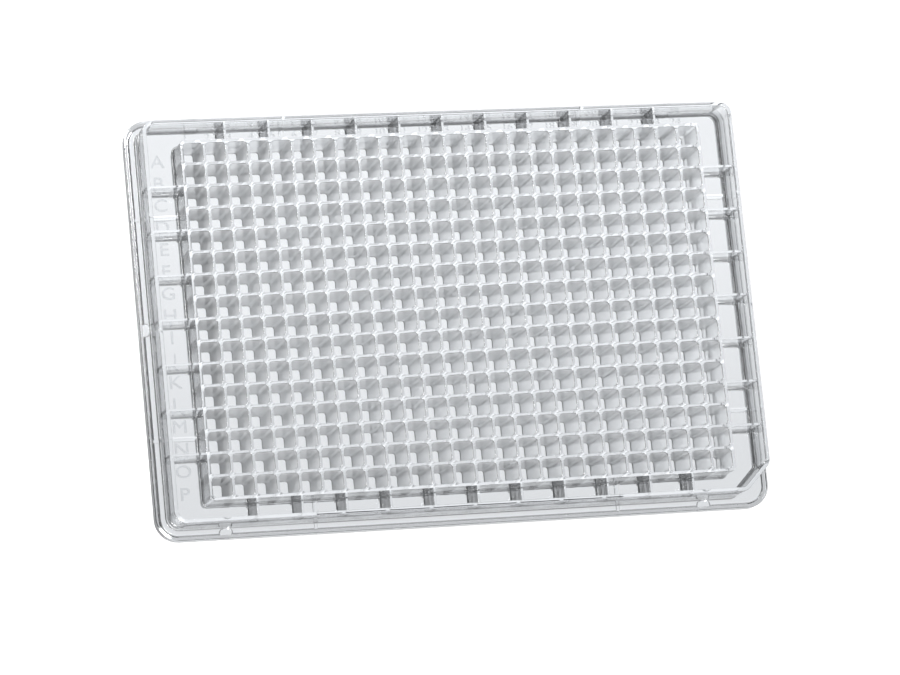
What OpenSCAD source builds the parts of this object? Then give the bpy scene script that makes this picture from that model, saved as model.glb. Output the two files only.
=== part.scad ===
// 384-well low-base microplate, moulded in one piece. Sizes are in millimetres.
// The origin is the middle of the footprint, on the surface that the plate stands on.
// +X runs from column 1 to column 24, +Y runs towards row A, and the wells open along +Z.

/* [Footprint] */
// Length of the footprint, along a row
plate_length = 127.76; // [125:0.01:132]
// Width of the footprint, along a column
plate_width = 85.48; // [83:0.01:90]
// Height from the foot to the tops of the wells and the rim
plate_height = 11; // [10.4:0.1:16]
// Radius of the footprint's upright corners
corner_radius = 4.7; // [3.6:0.1:6]

/* [Skirt] */
// Height of the flange around the foot
flange_height = 2.3; // [1.8:0.1:2.8]
// How far the rim's outer face stands in from the flange
flange_step = 2.1; // [1.7:0.05:2.6]
// Thickness of the skirt wall below the flange
skirt_wall = 1.15; // [0.8:0.05:1.5]
// Thickness of the flange's top
shelf_thickness = 1; // [0.8:0.05:1.4]
// Radius of the ejector bosses on the inside of the skirt
boss_radius = 1.35; // [1:0.05:1.6]
// Distance of the long sides' bosses from the middle
boss_offset = 49.8; // [40:0.1:54]
// Height of a boss's end above the foot
boss_lift = 0.3; // [0.1:0.05:0.8]

/* [Rim] */
// Thickness of the rim wall
rim_wall = 0.9; // [0.7:0.05:1.1]
// Leg of the rim's cut corner, beside well P24
rim_chamfer = 5.5; // [3.5:0.1:7]

/* [Deck] */
// Depth of the deck below the rim
deck_drop = 6.9; // [5:0.1:7.2]
// Thickness of the deck
deck_thickness = 1; // [0.7:0.05:1.3]

/* [Wells] */
// Number of columns, numbered from 1
columns = 24; // [12:2:24]
// Number of rows, lettered from A
rows = 16; // [8:2:16]
// Distance from well to well, both ways
pitch = 4.5; // [4.4:0.01:4.55]
// Width of a square well
well_width = 3.9; // [3.2:0.05:4]
// Radius of a well's upright corners
well_radius = 0.5; // [0.3:0.05:1]
// Depth of a well
well_depth = 9.7; // [8:0.1:9.8]
// Thickness of the wells' floor
floor_thickness = 0.5; // [0.2:0.05:0.6]
// Thickness of the wall around the block of wells
block_wall = 0.7; // [0.5:0.05:1]
// Radius of the block's upright corners
block_radius = 1; // [0.6:0.05:1.1]

/* [Ribs] */
// Thickness of the ribs between the block and the rim
rib_thickness = 0.7; // [0.5:0.05:1]
// Wells from one rib to the next
rib_step = 2; // [2:1:4]
// Thickness of the stiffeners below the deck
stiffener_thickness = 0.6; // [0.4:0.05:1]
// Height of the stiffeners' lower edge above the foot
stiffener_lift = 0.8; // [0.4:0.1:1.2]
// Walls from the middle out to the long sides' stiffeners
long_stiffener = 7; // [3:1:9]
// Walls from the middle out to the short sides' stiffeners
short_stiffener = 5; // [3:1:6]

/* [Hidden] */
$fn = 48;
clear_plastic = [0.87, 0.89, 0.91, 0.6];
overcut = 1;

plate_size = [plate_length, plate_width];
skirt_size = plate_size - 2 * skirt_wall * [1, 1];
rim_size = plate_size - 2 * flange_step * [1, 1];
bay_size = rim_size - 2 * rim_wall * [1, 1];
skirt_radius = corner_radius - skirt_wall;
rim_radius = corner_radius - flange_step;
bay_radius = rim_radius - rim_wall;
// The cut corner keeps the rim wall's thickness, so its inner leg is a little shorter
bay_chamfer = rim_chamfer - rim_wall * (2 - sqrt(2));

deck_top = plate_height - deck_drop;
deck_bottom = deck_top - deck_thickness;
shelf_bottom = flange_height - shelf_thickness;
floor_top = plate_height - well_depth;
floor_bottom = floor_top - floor_thickness;

grid_span = [columns - 1, rows - 1] * pitch;
block_size = grid_span + (well_width + 2 * block_wall) * [1, 1];

// A rectangle about the middle, with rounded corners
module rounded_rectangle(size, radius) {
    square([size.x, size.y - 2 * radius], center = true);
    square([size.x - 2 * radius, size.y], center = true);
    for (x = [-1, 1], y = [-1, 1])
        translate([x * (size.x / 2 - radius), y * (size.y / 2 - radius)]) circle(radius);
}

// The same, with a 45 degree cut at the +X -Y corner in place of the round
module cut_rectangle(size, radius, chamfer) {
    difference() {
        rounded_rectangle(size, radius);
        translate([size.x / 2, -size.y / 2]) rotate(45) square(chamfer * sqrt(2), center = true);
    }
}

// Copies the child onto every well's axis
module at_each_well() {
    for (column = [0 : columns - 1], row = [0 : rows - 1])
        translate([column * pitch - grid_span.x / 2, row * pitch - grid_span.y / 2]) children();
}

// The flange that stands on the bench: a skirt wall, closed on top out to the rim
module skirt() {
    difference() {
        linear_extrude(flange_height) rounded_rectangle(plate_size, corner_radius);
        translate([0, 0, -overcut])
            linear_extrude(shelf_bottom + overcut) rounded_rectangle(skirt_size, skirt_radius);
        translate([0, 0, -overcut])
            linear_extrude(flange_height + 2 * overcut) cut_rectangle(bay_size, bay_radius, bay_chamfer);
    }
}

// The upper wall that a lid fits over, with its cut corner
module rim() {
    translate([0, 0, shelf_bottom])
        linear_extrude(plate_height - shelf_bottom)
            difference() {
                cut_rectangle(rim_size, rim_radius, rim_chamfer);
                cut_rectangle(bay_size, bay_radius, bay_chamfer);
            }
}

// The recessed floor between the rim and the block of wells
module deck() {
    translate([0, 0, deck_bottom])
        linear_extrude(deck_thickness)
            difference() {
                cut_rectangle(bay_size + rim_wall * [1, 1], bay_radius, bay_chamfer);
                square(block_size - block_wall * [1, 1], center = true);
            }
}

// The grid of square wells, cut from one profile, on their common floor
module block() {
    translate([0, 0, floor_top])
        linear_extrude(well_depth)
            difference() {
                rounded_rectangle(block_size, block_radius);
                at_each_well() rounded_rectangle(well_width * [1, 1], well_radius);
            }
    translate([0, 0, floor_bottom]) linear_extrude(floor_thickness) rounded_rectangle(block_size, block_radius);
}

// One wall that reaches from inside the block's wall to an outer face, turned to its side
module radial_wall(side, offset, inner, outer, thickness, low, high) {
    rotate(side * 90) translate([inner, offset - thickness / 2, low])
        cube([outer - inner, thickness, high - low]);
}

// Ribs on every other well wall, level with the rim and the wells
module ribs() {
    for (side = [0 : 3]) {
        along = side % 2 == 0 ? rows : columns;
        inner = (side % 2 == 0 ? block_size.x : block_size.y) / 2 - block_wall / 2;
        outer = (side % 2 == 0 ? bay_size.x : bay_size.y) / 2 + rim_wall / 2;
        for (wall = [rib_step : rib_step : along - rib_step])
            radial_wall(side, (wall - along / 2) * pitch, inner, outer, rib_thickness, deck_bottom, plate_height);
    }
}

// Stiffeners below the deck and the flange's top, from the block to the skirt
module stiffeners() {
    for (side = [0 : 3], mirrored = [-1, 1]) {
        short = side % 2 == 0;
        inner = (short ? block_size.x : block_size.y) / 2 - block_wall / 2;
        rim_middle = (short ? bay_size.x : bay_size.y) / 2 + rim_wall / 2;
        skirt_middle = (short ? skirt_size.x : skirt_size.y) / 2 + skirt_wall / 2;
        offset = mirrored * (short ? short_stiffener : long_stiffener) * pitch;
        radial_wall(side, offset, inner, rim_middle, stiffener_thickness, stiffener_lift, deck_bottom);
        radial_wall(side, offset, inner, skirt_middle, stiffener_thickness, stiffener_lift, shelf_bottom);
    }
}

// Round bosses on the inside of the skirt, where the ejector pins push
module bosses() {
    spots = [
        for (x = [-1, 1]) [x * skirt_size.x / 2, 0],
        for (x = [-1, 1], y = [-1, 1]) [x * boss_offset, y * skirt_size.y / 2],
    ];
    intersection() {
        for (spot = spots)
            translate([spot.x, spot.y, boss_lift]) cylinder(r = boss_radius, h = flange_height - boss_lift - shelf_thickness / 2);
        linear_extrude(flange_height) rounded_rectangle(plate_size - skirt_wall * [1, 1], corner_radius - skirt_wall / 2);
    }
}

module well_plate() {
    color(clear_plastic) {
        skirt();
        rim();
        deck();
        block();
        ribs();
        stiffeners();
        bosses();
    }
}

well_plate();
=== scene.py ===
"""Looks of the 384-well microplate: one clear moulding with drafted wells, rounded edges and raised marks,
on a pale table under soft light. Lengths are in millimetres until they reach a mesh, which is in metres."""

from math import cos, pi, radians, sin, sqrt, tan

import bmesh
import bpy
from mathutils import Matrix, Vector

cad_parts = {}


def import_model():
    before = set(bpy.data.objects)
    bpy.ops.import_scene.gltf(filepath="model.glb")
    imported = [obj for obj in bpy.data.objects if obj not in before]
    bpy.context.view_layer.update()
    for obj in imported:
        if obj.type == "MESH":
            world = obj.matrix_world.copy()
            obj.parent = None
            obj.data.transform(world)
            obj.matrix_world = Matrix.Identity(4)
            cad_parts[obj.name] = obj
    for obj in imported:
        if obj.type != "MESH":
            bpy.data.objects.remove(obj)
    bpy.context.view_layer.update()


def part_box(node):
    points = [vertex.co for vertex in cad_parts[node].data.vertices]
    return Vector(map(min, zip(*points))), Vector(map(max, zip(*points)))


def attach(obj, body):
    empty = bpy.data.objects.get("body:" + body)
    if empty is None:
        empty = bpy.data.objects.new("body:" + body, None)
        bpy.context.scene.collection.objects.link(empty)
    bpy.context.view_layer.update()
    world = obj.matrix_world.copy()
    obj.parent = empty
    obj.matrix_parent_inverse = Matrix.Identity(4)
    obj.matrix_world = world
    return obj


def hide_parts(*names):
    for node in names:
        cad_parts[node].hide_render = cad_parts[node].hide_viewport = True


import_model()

MM = 0.001
LOW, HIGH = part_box("well_plate")

# ---------------------------------------------------------------- sizes that repeat the construction
LENGTH = (HIGH.x - LOW.x) / MM
WIDTH = (HIGH.y - LOW.y) / MM
HEIGHT = (HIGH.z - LOW.z) / MM
CORNER_RADIUS = 4.7
FLANGE_HEIGHT = 2.3
FLANGE_STEP = 2.1
SKIRT_WALL = 1.15
SHELF_THICKNESS = 1.0
BOSS_RADIUS = 1.35
BOSS_OFFSET = 49.8
BOSS_LIFT = 0.3
RIM_WALL = 0.9
RIM_CHAMFER = 5.5
DECK_TOP = HEIGHT - 6.9
DECK_THICKNESS = 1.0
COLUMNS, ROWS, PITCH = 24, 16, 4.5
WELL_WIDTH = 3.9
WELL_DEPTH = 9.7
FLOOR_THICKNESS = 0.5
BLOCK_WALL = 0.7
BLOCK_RADIUS = 1.0
RIB_STEP = 2
STIFFENER_THICKNESS = 0.6
STIFFENER_LIFT = 0.8
LONG_STIFFENER, SHORT_STIFFENER = 7, 5

# ---------------------------------------------------------------- sizes of the finer forms
# the skirt is thinner at its foot than at its top, and the wells' corners are rounder than in the solids
SKIRT_FOOT = 0.84
WELL_RADIUS = 0.65
WELL_DRAFT = 0.09
WELL_FILLET = 0.13
WELL_LIP = 0.1
# degrees: how far the lip turns outwards, and the least angle of a sharp edge
LIP_TURN, SHARP_ANGLE = 80, 40
LEAST_RADIUS, LEAST_WELL_RADIUS = 0.05, 0.06
EDGE_ROUND = 0.16
FOOT_FILLET = 0.35
DECK_FILLET = 0.45
RIB_FILLET = 0.5
RIB_TOP, RIB_BASE = 0.5, 0.9
RIB_ROUND = 0.12
SEAM = 0.004
OVERLAP = 0.3
CORNER_POINTS = 14
WELL_CORNER_POINTS = 6
ROUND_STEPS = 4
LETTER_HEIGHT, LETTER_STRETCH, LETTER_X = 2.5, 1.15, 57.85
DIGIT_HEIGHT, DIGIT_STRETCH, DIGIT_Y = 1.5, 1.1, 38.5
MARK_RELIEF, MARK_SINK = 0.2, 0.05

# ---------------------------------------------------------------- the view, in degrees and millimetres
CAMERA_AZIMUTH, CAMERA_ELEVATION, CAMERA_ROLL = -54.98, 71.47, 50.82
CAMERA_AIM = (-2.77, -6.14)
CAMERA_DISTANCE = 845.7
CAMERA_LENS = 168.93
SENSOR_WIDTH = 36
# the table: colour, share of glow, half size in metres and distance below the foot in millimetres
TABLE_COLOUR, TABLE_GLOW, TABLE_REACH, TABLE_DROP = (0.9, 0.9, 0.9, 1), 0.6, 1.5, 0.05
# painted shade on the table: how much of the backdrop's light reaches the plate from below, beside rows P and A,
# darker towards row P
SHADE_Y, SHADE_LEVELS = (-0.042, 0.03), (0.84, 1.0)
# places and size of the lamps in metres, and their power in watts
LAMPS = {"key_light": (-1.2, 1.1, 1.3), "fill_light": (-1.1, -1.2, 1.2)}
LAMP_SIZE, LAMP_POWER = 1.4, 58
MOST_BOUNCES, GLOSSY_BOUNCES = 14, 8
# lit parts of the studio: direction, the cosines at which each begins and is full, and its level
STUDIO_LEVEL = 0.1
STUDIO_COLOUR = (0.965, 0.98, 1.0)
DIFFUSE_SHARE = 0.6
STUDIO_PANELS = [
    ((0, 0, -1), 0.8, 0.89, 0.9),
    ((0, -1, -0.1), 0.1, 0.45, 0.62),
    ((0, 1, -0.1), 0.5, 0.8, 0.35),
    ((0, 0, -1), 0.0, 0.2, 0.35),
    ((0, 0, -1), 0.3, 0.5, -0.35),
]
SHADOW_TINT = (0.88, 0.885, 0.89, 1)
POLYSTYRENE_IOR = 1.59
PLASTIC_HUE = (0.98, 0.99, 1.0)
# Tint, roughness and haze of each finish. Tints under 1 are set against the photo: they stand for the dark
# lines that a clear moulding shows at its folds and edges.
# Tints under 1 are painted shade. They darken the wall tops, the folds at the deck, the skirt's inside, the block's
# and the rim's sides and the raised marks, where a clear moulding shows dark lines or less light. They darken the
# foot for the contact shadow under it.
FINISHES_AND_PAINTED_SHADE = {
    "polished": (1.0, 0.02, 0.0),
    "wall_top_painted_shade": (0.77, 0.02, 0.0),
    "fold": (0.25, 0.02, 0.0),
    "block_fold_painted_shade": (0.6, 0.02, 0.0),
    "skirt_inside_painted_shade": (0.45, 0.02, 0.0),
    "column_wall": (1.0, 0.04, 0.3),
    "row_wall": (1.0, 0.04, 0.3),
    "block_side_painted_shade": (0.6, 0.02, 0.0),
    "block_end": (1.0, 0.02, 0.0),
    "rim_side_painted_shade": (0.78, 0.02, 0.0),
    "foot": (0.5, 0.02, 0.0),
    "rib_side": (1.0, 0.02, 0.0),
    "rib_end": (1.0, 0.02, 0.0),
    "raised_mark_painted_shade": (0.95, 0.05, 0.0),
}
# soft clouds in the roughness and faint ripples, as noise scales per metre and a depth in metres
CLOUD_SCALE = 90
RIPPLE_SCALE, RIPPLE_STRENGTH, RIPPLE_DEPTH = 260, 0.25, 0.00002
# darker finishes of a section's rounded turns, where they aren't polished or a fold: painted shade at the foot and
# the block's sides, as the fold is painted shade at the deck's fillets
PAINTED_SHADE_TURNS = {"foot": "foot", "block_side_painted_shade": "block_fold_painted_shade"}
HAZE_COLOUR, HAZE_THROUGH = (0.9, 0.91, 0.92, 1), 0.5
ABSORBED_COLOUR, ABSORBED_PER_METRE = (0.3, 0.4, 0.5, 1), 6

GRID_X, GRID_Y = (COLUMNS - 1) * PITCH, (ROWS - 1) * PITCH
BLOCK_X = GRID_X / 2 + WELL_WIDTH / 2 + BLOCK_WALL
BLOCK_Y = GRID_Y / 2 + WELL_WIDTH / 2 + BLOCK_WALL
BAY_INSET = FLANGE_STEP + RIM_WALL
DECK_BOTTOM = DECK_TOP - DECK_THICKNESS
SHELF_BOTTOM = FLANGE_HEIGHT - SHELF_THICKNESS
WELL_FLOOR = HEIGHT - WELL_DEPTH
BLOCK_BOTTOM = WELL_FLOOR - FLOOR_THICKNESS


# ---------------------------------------------------------------- outlines and lofts
def arc(centre_x, centre_y, radius, start, end, points):
    """Points of an arc, from one angle to another."""
    angles = [start + (end - start) * step / (points - 1) for step in range(points)]
    return [(centre_x + radius * cos(angle), centre_y + radius * sin(angle)) for angle in angles]


def outline(half_x, half_y, radius, cut=0.0, corner_points=CORNER_POINTS):
    """A rounded rectangle, counter-clockwise from +X +Y, with a 45 degree cut at +X -Y where one is given."""
    points = []
    for quarter, (side_x, side_y) in enumerate([(1, 1), (-1, 1), (-1, -1), (1, -1)]):
        start = quarter * pi / 2
        if cut and quarter == 3:
            shift = cut + radius * tan(pi / 8) - radius
            half = corner_points // 2
            points += arc(half_x - radius - shift, radius - half_y, radius, start, start + pi / 4, half)
            points += arc(half_x - radius, radius - half_y + shift, radius, start + pi / 4, start + pi / 2, half)
        else:
            centre = side_x * (half_x - radius), side_y * (half_y - radius)
            points += arc(*centre, radius, start, start + pi / 2, corner_points)
    return points


class Wall:
    """An outline that a section is swept along: half sizes, corner radius and cut of its own face."""

    def __init__(self, half_x, half_y, radius, cut=0.0):
        self.half_x, self.half_y, self.radius, self.cut = half_x, half_y, radius, cut

    def ring(self, inset, height):
        cut = self.cut and self.cut - inset * (2 - sqrt(2))
        radius = max(self.radius - inset, LEAST_RADIUS)
        flat = outline(self.half_x - inset, self.half_y - inset, radius, cut)
        return [(x, y, height) for x, y in flat]


def rounded_section(corners):
    """Rings along a section with corners (wall, inset, height, fillet, finish), whose turns are near a right angle.
    Each ring comes with the finish of the band that follows it."""
    rings = []
    for index, (wall, inset, height, fillet, finish) in enumerate(corners):
        if not fillet:
            rings.append((wall.ring(inset, height), finish))
            continue
        towards = []
        for neighbour in (corners[index - 1], corners[index + 1]):
            towards.append(Vector((wall.half_x - inset - neighbour[0].half_x + neighbour[1], neighbour[2] - height)))
        back, ahead = [direction.normalized() * fillet for direction in towards]
        for step in range(ROUND_STEPS + 1):
            angle = step / ROUND_STEPS * pi / 2
            shift = back * (1 - sin(angle)) + ahead * (1 - cos(angle))
            # Turns at the deck's fillets, the foot and the block's sides take darker finishes: painted shade for the
            # dark lines at these turns.
            turned = PAINTED_SHADE_TURNS.get(finish, "fold" if fillet == DECK_FILLET else "polished")
            own = finish if step == ROUND_STEPS else turned
            rings.append((wall.ring(inset + shift.x, height + shift.y), own))
    return rings


def loft_faces(rings, size, first=0):
    """Faces between rings of one size, with a cap on the first and on the last."""
    faces = [[first + point for point in reversed(range(size))]]
    for ring in range(rings - 1):
        for point in range(size):
            following = (point + 1) % size
            low, high = first + ring * size, first + (ring + 1) * size
            faces.append([low + point, low + following, high + following, high + point])
    last = first + (rings - 1) * size
    faces.append([last + point for point in range(size)])
    return faces


def solid(name, points, faces, finishes):
    """A mesh object from points in millimetres, with the name of each face's finish."""
    mesh = bpy.data.meshes.new(name)
    mesh.from_pydata([[value * MM for value in point] for point in points], [], faces)
    for finish in FINISHES_AND_PAINTED_SHADE:
        mesh.materials.append(bpy.data.materials[finish])
    for polygon, finish in zip(mesh.polygons, finishes):
        polygon.material_index = list(FINISHES_AND_PAINTED_SHADE).index(finish)
    mesh.update()
    thing = bpy.data.objects.new(name, mesh)
    bpy.context.scene.collection.objects.link(thing)
    return thing


def loft(name, section, ends=None):
    """A solid from rings and their finishes. Bands that face along Y may take another finish."""
    rings = [ring for ring, _ in section]
    size = len(rings[0])
    finishes = ["polished"]
    for ring, finish in section[:-1]:
        for (x, y, _), (next_x, next_y, _) in zip(ring, ring[1:] + ring[:1]):
            faces_end = abs(next_x - x) > abs(next_y - y)
            finishes.append((ends or {}).get(finish, finish) if faces_end else finish)
    finishes.append(section[-1][1])
    return solid(name, [point for ring in rings for point in ring], loft_faces(len(rings), size), finishes)


def combine(piece, other, operation):
    """Adds another solid to a piece or cuts it out, and removes that solid."""
    modifier = piece.modifiers.new(operation, "BOOLEAN")
    modifier.operation = operation
    modifier.solver = "MANIFOLD"
    modifier.object = other
    evaluated = piece.evaluated_get(bpy.context.evaluated_depsgraph_get())
    result = bpy.data.meshes.new_from_object(evaluated)
    piece.modifiers.clear()
    piece.data = result
    bpy.data.objects.remove(other)


# ---------------------------------------------------------------- the moulding
def shell():
    """Block, deck, rim and flange as one section, swept from the block's bottom round to its top."""
    block = Wall(BLOCK_X, BLOCK_Y, BLOCK_RADIUS)
    foot = Wall(LENGTH / 2, WIDTH / 2, CORNER_RADIUS)
    rim_face = Wall(LENGTH / 2 - FLANGE_STEP, WIDTH / 2 - FLANGE_STEP, CORNER_RADIUS - FLANGE_STEP, RIM_CHAMFER)
    corners = [
        (block, 0, BLOCK_BOTTOM, 0, "polished"),
        (block, 0, DECK_BOTTOM, FOOT_FILLET, "polished"),
        (rim_face, RIM_WALL, DECK_BOTTOM, FOOT_FILLET, "polished"),
        (rim_face, RIM_WALL, SHELF_BOTTOM, EDGE_ROUND, "polished"),
        # The skirt's inner faces towards -X and +X take a finish darkened as painted shade. Those towards -Y and +Y
        # are polished.
        (foot, SKIRT_WALL, SHELF_BOTTOM, EDGE_ROUND, "skirt_inside_painted_shade"),
        # The foot's underside and its rounds take a finish darkened as painted shade, for the contact shadow on the
        # table under it.
        (foot, SKIRT_FOOT, 0, EDGE_ROUND, "foot"),
        (foot, 0, 0, EDGE_ROUND, "polished"),
        (foot, 0, FLANGE_HEIGHT, FOOT_FILLET, "polished"),
        # The rim's outer face and its inner face take a finish darkened as painted shade.
        (rim_face, 0, FLANGE_HEIGHT, FOOT_FILLET, "rim_side_painted_shade"),
        (rim_face, 0, HEIGHT, EDGE_ROUND, "polished"),
        (rim_face, RIM_WALL, HEIGHT, EDGE_ROUND, "rim_side_painted_shade"),
        # Both fillets at the deck take fold finishes, darkened as painted shade.
        (rim_face, RIM_WALL, DECK_TOP, DECK_FILLET, "polished"),
        # The block's outer faces towards -X and +X take a finish darkened as painted shade. Those towards -Y and +Y
        # take the clear block-end finish.
        (block, 0, DECK_TOP, DECK_FILLET, "block_side_painted_shade"),
        (block, 0, HEIGHT, EDGE_ROUND, "polished"),
        # The block wall's top takes the wall-top finish, darkened as painted shade.
        (block, BLOCK_WALL, HEIGHT, 0, "wall_top_painted_shade"),
    ]
    return loft("well_plate_body", rounded_section(corners), {"block_side_painted_shade": "block_end", "skirt_inside_painted_shade": "polished"})


def well_section():
    """Rings of one well as a solid, from its floor up to a flare just over the lip."""
    half, radius = WELL_WIDTH / 2, WELL_RADIUS
    section = []

    def ring(inset, height, finish="polished"):
        turn = max(radius - inset, LEAST_WELL_RADIUS)
        flat = outline(half - inset, half - inset, turn, corner_points=WELL_CORNER_POINTS)
        section.append(([(x, y, height) for x, y in flat], finish))

    for step in range(ROUND_STEPS):
        angle = step / (ROUND_STEPS - 1) * pi / 2
        finish = "column_wall" if step == ROUND_STEPS - 1 else "polished"
        ring(WELL_DRAFT + WELL_FILLET * (1 - sin(angle)), WELL_FLOOR + WELL_FILLET * (1 - cos(angle)), finish)
    # The lip's rings take the wall-top finish, darkened as painted shade.
    for step in range(ROUND_STEPS):
        angle = step / (ROUND_STEPS - 1) * radians(LIP_TURN)
        ring(-WELL_LIP * (1 - cos(angle)), HEIGHT - WELL_LIP * (1 - sin(angle)), "wall_top_painted_shade")
    ring(-WELL_LIP, HEIGHT + WELL_LIP)
    return section


def copies(name, piece, places):
    """One solid with the faces and finishes of a piece at each place, and removes the piece."""
    points, faces, finishes = [], [], []
    own = [vertex.co / MM for vertex in piece.data.vertices]
    for x, y in places:
        first = len(points)
        points += [(point.x + x, point.y + y, point.z) for point in own]
        faces += [[first + index for index in polygon.vertices] for polygon in piece.data.polygons]
        finishes += [list(FINISHES_AND_PAINTED_SHADE)[polygon.material_index] for polygon in piece.data.polygons]
    bpy.data.objects.remove(piece)
    return solid(name, points, faces, finishes)


def wells():
    """Every well as one cutter. Walls between rows take their own finish."""
    places = [(column * PITCH - GRID_X / 2, GRID_Y / 2 - row * PITCH)
              for column in range(COLUMNS) for row in range(ROWS)]
    return copies("wells", loft("well", well_section(), {"column_wall": "row_wall"}), places)


def bosses():
    """Ejector bosses, cut off inside the skirt wall by half its thickness."""
    across, along = LENGTH / 2 - SKIRT_WALL, WIDTH / 2 - SKIRT_WALL
    places = [(side * across, 0) for side in (-1, 1)]
    places += [(side * BOSS_OFFSET, end * along) for side in (-1, 1) for end in (-1, 1)]
    section = []
    for inset, height in ((EDGE_ROUND, BOSS_LIFT), (0, BOSS_LIFT + EDGE_ROUND), (0, SHELF_BOTTOM + OVERLAP)):
        half = BOSS_RADIUS - inset
        section.append(([(x, y, height) for x, y in outline(half, half, half)], "polished"))
    posts = copies("bosses", loft("boss", section), places)
    inside = Wall(LENGTH / 2 - SKIRT_FOOT / 2, WIDTH / 2 - SKIRT_FOOT / 2, CORNER_RADIUS - SKIRT_FOOT / 2)
    combine(posts, loft("inside", [(inside.ring(0, height), "polished") for height in (0, HEIGHT)]), "INTERSECT")
    return posts


def rib_profile():
    """Half of a rib's section, from below the deck up: foot fillet, drafted side and rounded top."""
    half, top = RIB_BASE / 2, RIB_TOP / 2
    turns = [step * pi / 2 / ROUND_STEPS for step in range(ROUND_STEPS + 1)]
    profile = [(half + RIB_FILLET, DECK_TOP - OVERLAP)]
    profile += [(half + RIB_FILLET * (1 - sin(turn)), DECK_TOP + SEAM + RIB_FILLET * (1 - cos(turn)))
                for turn in turns]
    profile += [(top - RIB_ROUND * (1 - cos(turn)), HEIGHT - RIB_ROUND * (1 - sin(turn))) for turn in turns]
    return profile


def bar(points, faces, finishes, side, offset, inner, outer, profile):
    """Adds a wall that runs outwards on one side of the plate, with the same profile on both of its faces."""
    section = profile + [(-across, height) for across, height in reversed(profile)]
    turn = Matrix.Rotation(side * pi / 2, 3, "Z")
    faces += loft_faces(2, len(section), len(points))
    finishes += ["rib_end" if side % 2 == 0 else "rib_side"] * (len(section) + 2)
    for along in (inner, outer):
        points += [tuple(turn @ Vector((along, offset + across, height))) for across, height in section]


def walls_beyond_block():
    """Ribs on the deck, and stiffeners below it and below the flange."""
    points, faces, finishes = [], [], []
    for side in range(4):
        short = side % 2 == 0
        count = ROWS if short else COLUMNS
        inner = (BLOCK_X if short else BLOCK_Y) - BLOCK_WALL / 2
        face = (LENGTH if short else WIDTH) / 2
        outer = face - BAY_INSET + RIM_WALL / 2
        for wall in range(RIB_STEP, count, RIB_STEP):
            offset = (wall - count / 2) * PITCH
            bar(points, faces, finishes, side, offset, inner, outer, rib_profile())
        for mirrored in (-1, 1):
            offset = mirrored * PITCH * (SHORT_STIFFENER if short else LONG_STIFFENER)
            reach = outer, face - SKIRT_WALL / 2
            for stop, top in zip(reach, (DECK_BOTTOM + OVERLAP, SHELF_BOTTOM + OVERLAP)):
                half = STIFFENER_THICKNESS / 2
                bar(points, faces, finishes, side, offset, inner, stop, [(half, STIFFENER_LIFT), (half, top)])
                inner = outer - OVERLAP / 2
            inner = (BLOCK_X if short else BLOCK_Y) - BLOCK_WALL / 2
    return solid("walls_beyond_block", points, faces, finishes)


def finish_shading(piece):
    """Smooth rounds between flat faces."""
    piece.data.shade_smooth()
    piece.data.set_sharp_from_angle(angle=radians(SHARP_ANGLE))
    modifier = piece.modifiers.new("flat_faces", "WEIGHTED_NORMAL")
    modifier.keep_sharp = True


# ---------------------------------------------------------------- raised marks
def mark(text, height, stretch, centre_x, centre_y):
    """One character or number, raised on the deck, scaled to a height and stretched along its line."""
    curve = bpy.data.curves.new("mark", "FONT")
    curve.body = text
    curve.extrude = 0.5
    thing = bpy.data.objects.new("mark", curve)
    mesh = bpy.data.meshes.new_from_object(thing)
    bpy.data.objects.remove(thing)
    bpy.data.curves.remove(curve)
    low = Vector([min(vertex.co[axis] for vertex in mesh.vertices) for axis in range(3)])
    high = Vector([max(vertex.co[axis] for vertex in mesh.vertices) for axis in range(3)])
    size = high - low
    scale = Vector((stretch * height / size.y, height / size.y, MARK_RELIEF / size.z))
    centre = Vector((centre_x, centre_y, DECK_TOP + MARK_RELIEF / 2 - MARK_SINK))
    mesh.transform(Matrix.Translation(centre * MM) @ Matrix.Diagonal((*(scale * MM), 1))
                   @ Matrix.Translation(-(low + high) / 2))
    return mesh


def joined(name, meshes):
    """One object from several meshes, with doubled points merged."""
    together = bmesh.new()
    for mesh in meshes:
        together.from_mesh(mesh)
        bpy.data.meshes.remove(mesh)
    bmesh.ops.remove_doubles(together, verts=together.verts, dist=1e-7)
    mesh = bpy.data.meshes.new(name)
    together.to_mesh(mesh)
    together.free()
    # The marks' material is darkened a little as painted shade.
    mesh.materials.append(bpy.data.materials["raised_mark_painted_shade"])
    thing = bpy.data.objects.new(name, mesh)
    bpy.context.scene.collection.objects.link(thing)
    return thing


def row_letters():
    marks = []
    for row in range(ROWS):
        middle = GRID_Y / 2 - row * PITCH
        marks.append(mark(chr(ord("A") + row), LETTER_HEIGHT, LETTER_STRETCH, -LETTER_X, middle))
    return joined("row_letters", marks)


def column_numbers():
    marks = []
    for column in range(COLUMNS):
        text = str(column + 1)
        marks.append(mark(text, DIGIT_HEIGHT, DIGIT_STRETCH, column * PITCH - GRID_X / 2, DIGIT_Y))
    return joined("column_numbers", marks)


# ---------------------------------------------------------------- materials
def material(name):
    made = bpy.data.materials.new(name)
    made.use_nodes = True
    made.node_tree.nodes.clear()
    return made, made.node_tree.nodes, made.node_tree.links


def ray_kind(nodes, links, *kinds):
    """1 for rays of the given kinds."""
    path = nodes.new("ShaderNodeLightPath")
    total = path.outputs[kinds[0]]
    for kind in kinds[1:]:
        added = nodes.new("ShaderNodeMath")
        added.operation = "MAXIMUM"
        links.new(total, added.inputs[0])
        links.new(path.outputs[kind], added.inputs[1])
        total = added.outputs["Value"]
    return total


def share_of(nodes, links, value, share):
    scaled = nodes.new("ShaderNodeMath")
    scaled.operation = "MULTIPLY"
    scaled.inputs[1].default_value = share
    links.new(value, scaled.inputs[0])
    return scaled.outputs["Value"]


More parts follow.
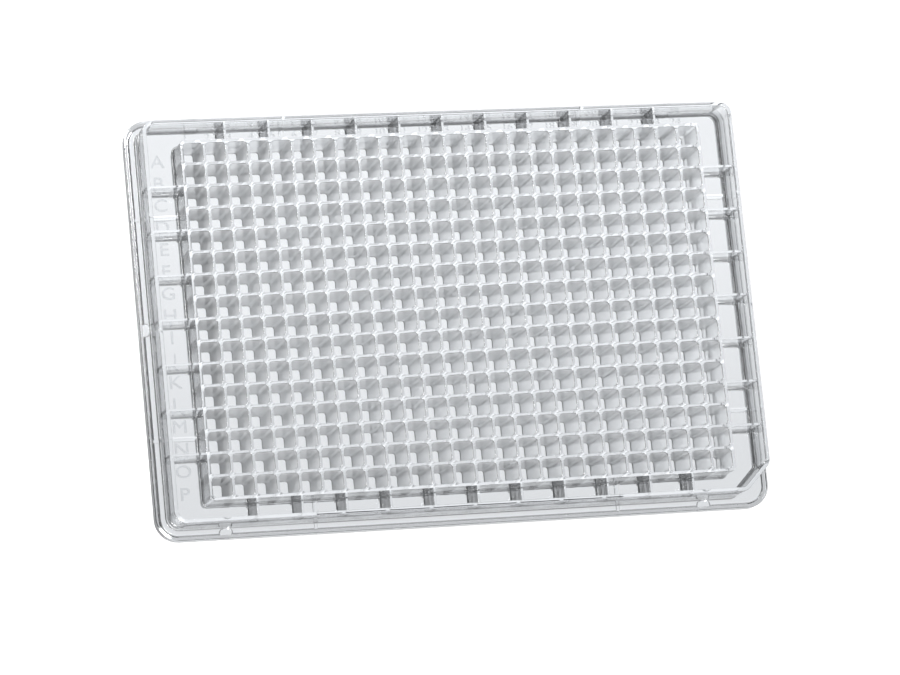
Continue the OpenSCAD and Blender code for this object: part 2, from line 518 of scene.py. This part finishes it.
def mixed(nodes, links, share, first, second):
    """A mix of two surfaces, by a number or by a value."""
    mix = nodes.new("ShaderNodeMixShader")
    if isinstance(share, float):
        mix.inputs["Fac"].default_value = share
    else:
        links.new(share, mix.inputs["Fac"])
    links.new(first, mix.inputs[1])
    links.new(second, mix.inputs[2])
    return mix.outputs["Shader"]


def noise(nodes, links, scale):
    """Soft noise over the plate."""
    made = nodes.new("ShaderNodeTexNoise")
    made.inputs["Scale"].default_value = scale
    made.inputs["Detail"].default_value = 0
    links.new(nodes.new("ShaderNodeTexCoord").outputs["Object"], made.inputs["Vector"])
    return made.outputs["Fac"]


def cloudy(nodes, links, socket, roughness):
    """Roughness that varies softly over the moulding, between half and one and a half times its level."""
    spread = nodes.new("ShaderNodeMapRange")
    spread.inputs["To Min"].default_value = roughness / 2
    spread.inputs["To Max"].default_value = roughness * 3 / 2
    links.new(noise(nodes, links, CLOUD_SCALE), spread.inputs["Value"])
    links.new(spread.outputs["Result"], socket)


def rippled(nodes, links):
    """The faint unevenness that a mould leaves, as a bump."""
    bump = nodes.new("ShaderNodeBump")
    bump.inputs["Strength"].default_value = RIPPLE_STRENGTH
    bump.inputs["Distance"].default_value = RIPPLE_DEPTH
    links.new(noise(nodes, links, RIPPLE_SCALE), bump.inputs["Height"])
    return bump.outputs["Normal"]


def clear_plastic(name, painted_shade_tint, roughness, haze):
    """Clear polystyrene, with a share of hazy surface. A value under 1 in the first number darkens its colour as
    painted shade. Light on its way to a lamp passes straight through, a little weaker."""
    made, nodes, links = material(name)
    out = nodes.new("ShaderNodeOutputMaterial")
    shader = nodes.new("ShaderNodeBsdfPrincipled")
    # The plastic's hue, darkened as painted shade where the finish's first number is under 1.
    shader.inputs["Base Color"].default_value = (*(painted_shade_tint * share for share in PLASTIC_HUE), 1)
    cloudy(nodes, links, shader.inputs["Roughness"], roughness)
    links.new(rippled(nodes, links), shader.inputs["Normal"])
    shader.inputs["IOR"].default_value = POLYSTYRENE_IOR
    shader.inputs["Transmission Weight"].default_value = 1.0
    surface = shader.outputs["BSDF"]
    if haze:
        front = nodes.new("ShaderNodeBsdfDiffuse")
        back = nodes.new("ShaderNodeBsdfTranslucent")
        for hazy in (front, back):
            hazy.inputs["Color"].default_value = HAZE_COLOUR
        outside = nodes.new("ShaderNodeMapRange")
        outside.inputs["To Min"].default_value = haze
        outside.inputs["To Max"].default_value = 0
        links.new(nodes.new("ShaderNodeNewGeometry").outputs["Backfacing"], outside.inputs["Value"])
        hazy = mixed(nodes, links, HAZE_THROUGH, front.outputs["BSDF"], back.outputs["BSDF"])
        surface = mixed(nodes, links, outside.outputs["Result"], surface, hazy)
    through = nodes.new("ShaderNodeBsdfTransparent")
    through.inputs["Color"].default_value = SHADOW_TINT
    surface = mixed(nodes, links, ray_kind(nodes, links, "Is Shadow Ray"), surface, through.outputs["BSDF"])
    links.new(surface, out.inputs["Surface"])
    depth = nodes.new("ShaderNodeVolumeAbsorption")
    depth.inputs["Color"].default_value = ABSORBED_COLOUR
    depth.inputs["Density"].default_value = ABSORBED_PER_METRE
    links.new(depth.outputs["Volume"], out.inputs["Volume"])
    return made


def table_surface():
    """A white table, lit in part as a backdrop is. Through the plastic it shows the lit backdrop below it, with
    painted shade that darkens it towards row P.
    """
    made, nodes, links = material("white_table")
    out = nodes.new("ShaderNodeOutputMaterial")
    diffuse = nodes.new("ShaderNodeBsdfDiffuse")
    diffuse.inputs["Color"].default_value = TABLE_COLOUR
    glow = nodes.new("ShaderNodeEmission")
    clear = nodes.new("ShaderNodeBsdfTransparent")
    split = nodes.new("ShaderNodeSeparateXYZ")
    links.new(nodes.new("ShaderNodeTexCoord").outputs["Object"], split.inputs["Vector"])
    # Painted shade: the backdrop seen through the table darkens towards row P.
    shade = nodes.new("ShaderNodeMapRange")
    shade.interpolation_type = "SMOOTHSTEP"
    for name, value in zip(("From Min", "From Max", "To Min", "To Max"), SHADE_Y + SHADE_LEVELS):
        shade.inputs[name].default_value = value
    links.new(split.outputs["Y"], shade.inputs["Value"])
    links.new(shade.outputs["Result"], clear.inputs["Color"])
    lit = share_of(nodes, links, ray_kind(nodes, links, "Is Camera Ray", "Is Diffuse Ray"), TABLE_GLOW)
    seen = mixed(nodes, links, lit, diffuse.outputs["BSDF"], glow.outputs["Emission"])
    through = ray_kind(nodes, links, "Is Glossy Ray", "Is Transmission Ray")
    links.new(mixed(nodes, links, through, seen, clear.outputs["BSDF"]), out.inputs["Surface"])
    return made


# ---------------------------------------------------------------- stage, light and camera
def stage():
    mesh = bpy.data.meshes.new("table")
    reach, drop = TABLE_REACH, -TABLE_DROP * MM
    mesh.from_pydata([(-reach, -reach, drop), (reach, -reach, drop), (reach, reach, drop), (-reach, reach, drop)], [],
                     [(0, 1, 2, 3)])
    table = bpy.data.objects.new("table", mesh)
    bpy.context.scene.collection.objects.link(table)
    table.data.materials.append(table_surface())


def area_light(name, place):
    """A square lamp that faces the plate."""
    light = bpy.data.lights.new(name, "AREA")
    light.shape = "SQUARE"
    light.size = LAMP_SIZE
    light.energy = LAMP_POWER
    thing = bpy.data.objects.new(name, light)
    thing.location = place
    thing.rotation_euler = (-Vector(place)).to_track_quat("-Z", "Y").to_euler()
    bpy.context.scene.collection.objects.link(thing)


def world():
    """A dim studio, with a lit backdrop below that the plastic shows, and plain white behind the scene."""
    made = bpy.data.worlds.new("studio")
    bpy.context.scene.world = made
    made.use_nodes = True
    nodes, links = made.node_tree.nodes, made.node_tree.links
    place = nodes.new("ShaderNodeTexCoord").outputs["Generated"]
    level = None
    for direction, begins, full, added in STUDIO_PANELS:
        towards = nodes.new("ShaderNodeVectorMath")
        towards.operation = "DOT_PRODUCT"
        towards.inputs[1].default_value = Vector(direction).normalized()
        links.new(place, towards.inputs[0])
        panel = nodes.new("ShaderNodeMapRange")
        panel.interpolation_type = "SMOOTHSTEP"
        for name, value in (("From Min", begins), ("From Max", full), ("To Min", 0), ("To Max", added)):
            panel.inputs[name].default_value = value
        links.new(towards.outputs["Value"], panel.inputs["Value"])
        total = nodes.new("ShaderNodeMath")
        total.inputs[1].default_value = STUDIO_LEVEL
        links.new(panel.outputs["Result"], total.inputs[0])
        if level:
            links.new(level, total.inputs[1])
        level = total.outputs["Value"]
    dim = nodes["Background"]
    dim.inputs["Color"].default_value = (*STUDIO_COLOUR, 1)
    links.new(level, dim.inputs["Strength"])
    backdrop = nodes.new("ShaderNodeBackground")
    backdrop.inputs["Color"].default_value = (1, 1, 1, 1)
    ambient = share_of(nodes, links, ray_kind(nodes, links, "Is Diffuse Ray"), DIFFUSE_SHARE)
    shown = mixed(nodes, links, ambient, dim.outputs[0], backdrop.outputs[0])
    shown = mixed(nodes, links, ray_kind(nodes, links, "Is Camera Ray"), shown, backdrop.outputs[0])
    links.new(shown, nodes["World Output"].inputs["Surface"])


def camera():
    """Looks down on the plate from beyond its A1 to P1 side, turned a little about its own axis."""
    lens = bpy.data.cameras.new("camera")
    lens.sensor_width = SENSOR_WIDTH
    lens.lens = CAMERA_LENS
    thing = bpy.data.objects.new("camera", lens)
    target = Vector((*CAMERA_AIM, HEIGHT)) * MM
    azimuth, elevation = radians(CAMERA_AZIMUTH), radians(CAMERA_ELEVATION)
    back = Vector((sin(azimuth) * cos(elevation), -cos(azimuth) * cos(elevation), sin(elevation)))
    level = (-back).to_track_quat("-Z", "Y").to_matrix()
    thing.rotation_euler = (level @ Matrix.Rotation(radians(CAMERA_ROLL), 3, "Z")).to_euler()
    thing.location = target + back * CAMERA_DISTANCE * MM
    bpy.context.scene.collection.objects.link(thing)
    bpy.context.scene.camera = thing


# ---------------------------------------------------------------- build
camera()
stage()
world()
for name, place in LAMPS.items():
    area_light(name, place)

for name, (painted_shade_tint, roughness, haze) in FINISHES_AND_PAINTED_SHADE.items():
    clear_plastic(name, painted_shade_tint, roughness, haze)
plate = shell()
combine(plate, walls_beyond_block(), "UNION")
combine(plate, bosses(), "UNION")
combine(plate, wells(), "DIFFERENCE")
finish_shading(plate)
for piece in (plate, row_letters(), column_numbers()):
    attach(piece, "root")
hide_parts("well_plate")

scene = bpy.context.scene
scene.view_settings.view_transform = "Standard"
scene.cycles.max_bounces = MOST_BOUNCES
scene.cycles.transmission_bounces = MOST_BOUNCES
scene.cycles.glossy_bounces = GLOSSY_BOUNCES
